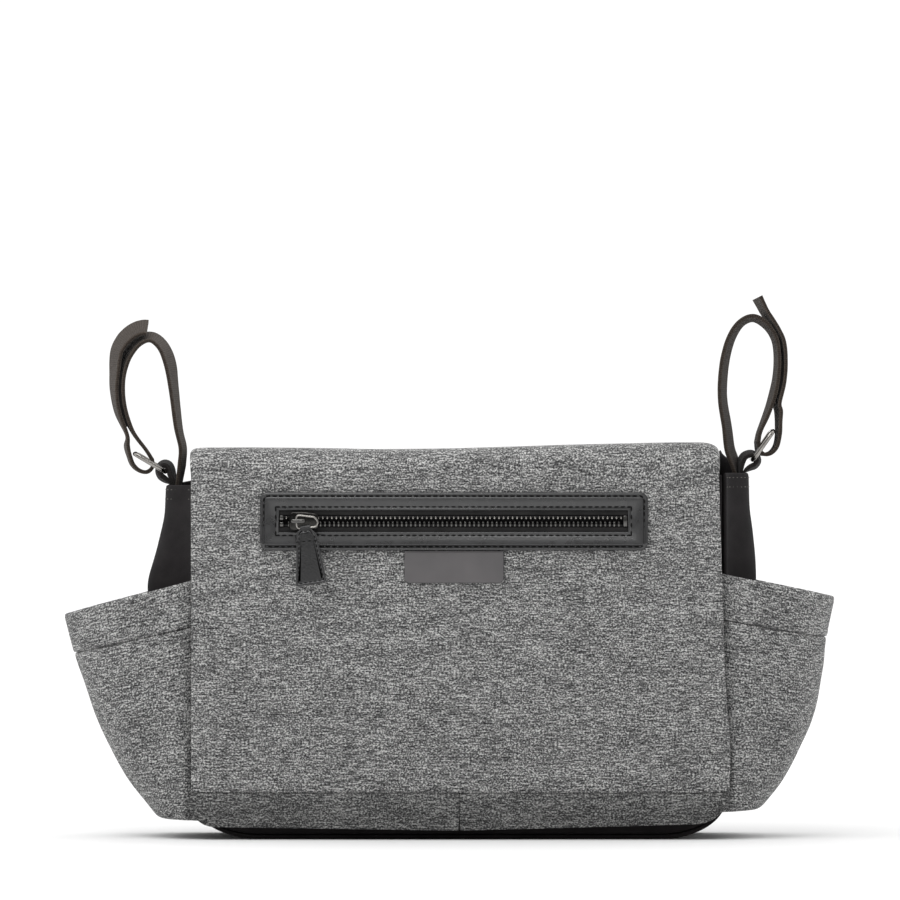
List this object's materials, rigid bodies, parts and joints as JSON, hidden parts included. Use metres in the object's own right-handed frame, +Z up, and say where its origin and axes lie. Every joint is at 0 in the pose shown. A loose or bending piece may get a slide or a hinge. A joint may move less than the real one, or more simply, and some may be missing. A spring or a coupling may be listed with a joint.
{
  "type": "stroller organizer",
  "caption": "Soft stroller organizer: padded body under a zipped front flap, open flared side pockets, and looped hook-and-loop straps on rings that hang it from a handlebar.",
  "frame": {"origin": "centre of the flat base's underside, where the bag rests", "axes": "+X to the right seen from the front, across the bag; +Y from the front towards the back; +Z up"},
  "size_m": [0.48, 0.1123, 0.3375],
  "materials": {
    "marl_neoprene": "marl jersey over neoprene",
    "black_twill": "matte woven",
    "lining_cloth": "smooth woven",
    "webbing": "ribbed webbing",
    "hook_and_loop": "hook and loop pile",
    "leather": "satin grained",
    "gunmetal": "polished gunmetal plate",
    "fibre_board": "matte stiffener"
  },
  "bodies": {
    "bag": {"flap_shell": "marl_neoprene", "flap_band_left": "marl_neoprene", "flap_band_right": "marl_neoprene", "left_pocket": "marl_neoprene", "right_pocket": "marl_neoprene", "left_pocket_hem": "marl_neoprene", "right_pocket_hem": "marl_neoprene", "base_panel": "black_twill", "front_panel": "black_twill", "rear_panel": "black_twill", "left_gusset": "black_twill", "right_gusset": "black_twill", "front_binding": "black_twill", "flap_lining": "lining_cloth", "zip_pouch": "lining_cloth", "zip_tape_upper": "lining_cloth", "zip_tape_lower": "lining_cloth", "left_strap": "webbing", "right_strap": "webbing", "left_ring_tab": "webbing", "right_ring_tab": "webbing", "left_hook_tape": "hook_and_loop", "left_loop_tape": "hook_and_loop", "right_hook_tape": "hook_and_loop", "right_loop_tape": "hook_and_loop", "zip_trim": "leather", "zip_teeth_upper": "gunmetal", "zip_teeth_lower": "gunmetal", "zip_top_stop_upper": "gunmetal", "zip_top_stop_lower": "gunmetal", "zip_bottom_stop": "gunmetal", "left_body_snap": "gunmetal", "right_body_snap": "gunmetal", "left_flap_snap": "gunmetal", "right_flap_snap": "gunmetal", "base_board": "fibre_board"},
    "slider": {"zip_slider": "gunmetal"},
    "link": {"pull_link": "gunmetal"},
    "tab": {"pull_tab": "leather"},
    "left_ring": {"left_ring": "gunmetal"},
    "right_ring": {"right_ring": "gunmetal"}
  },
  "joints": [
    {"name": "slider_slide", "type": "slide", "parent": "bag", "child": "slider", "axis": [1, 0, 0], "range_m": [0, 0.187]},
    {"name": "link_swivel", "type": "hinge", "parent": "slider", "child": "link", "pos_m": [-0.09585, -0.0607, 0.1975], "axis": [0, 1, 0], "range_deg": [-35, 20]},
    {"name": "tab_lift", "type": "hinge", "parent": "link", "child": "tab", "pos_m": [-0.09542, -0.0607, 0.19332], "axis": [-0.9947, 0, -0.1028], "range_deg": [0, 100]},
    {"name": "left_ring_tilt", "type": "hinge", "parent": "bag", "child": "left_ring", "pos_m": [-0.184, 0, 0.2282], "axis": [0, 1, 0], "range_deg": [0, 8]},
    {"name": "right_ring_tilt", "type": "hinge", "parent": "bag", "child": "right_ring", "pos_m": [0.1834, 0, 0.2356], "axis": [0, -1, 0], "range_deg": [0, 10]}
  ]
}
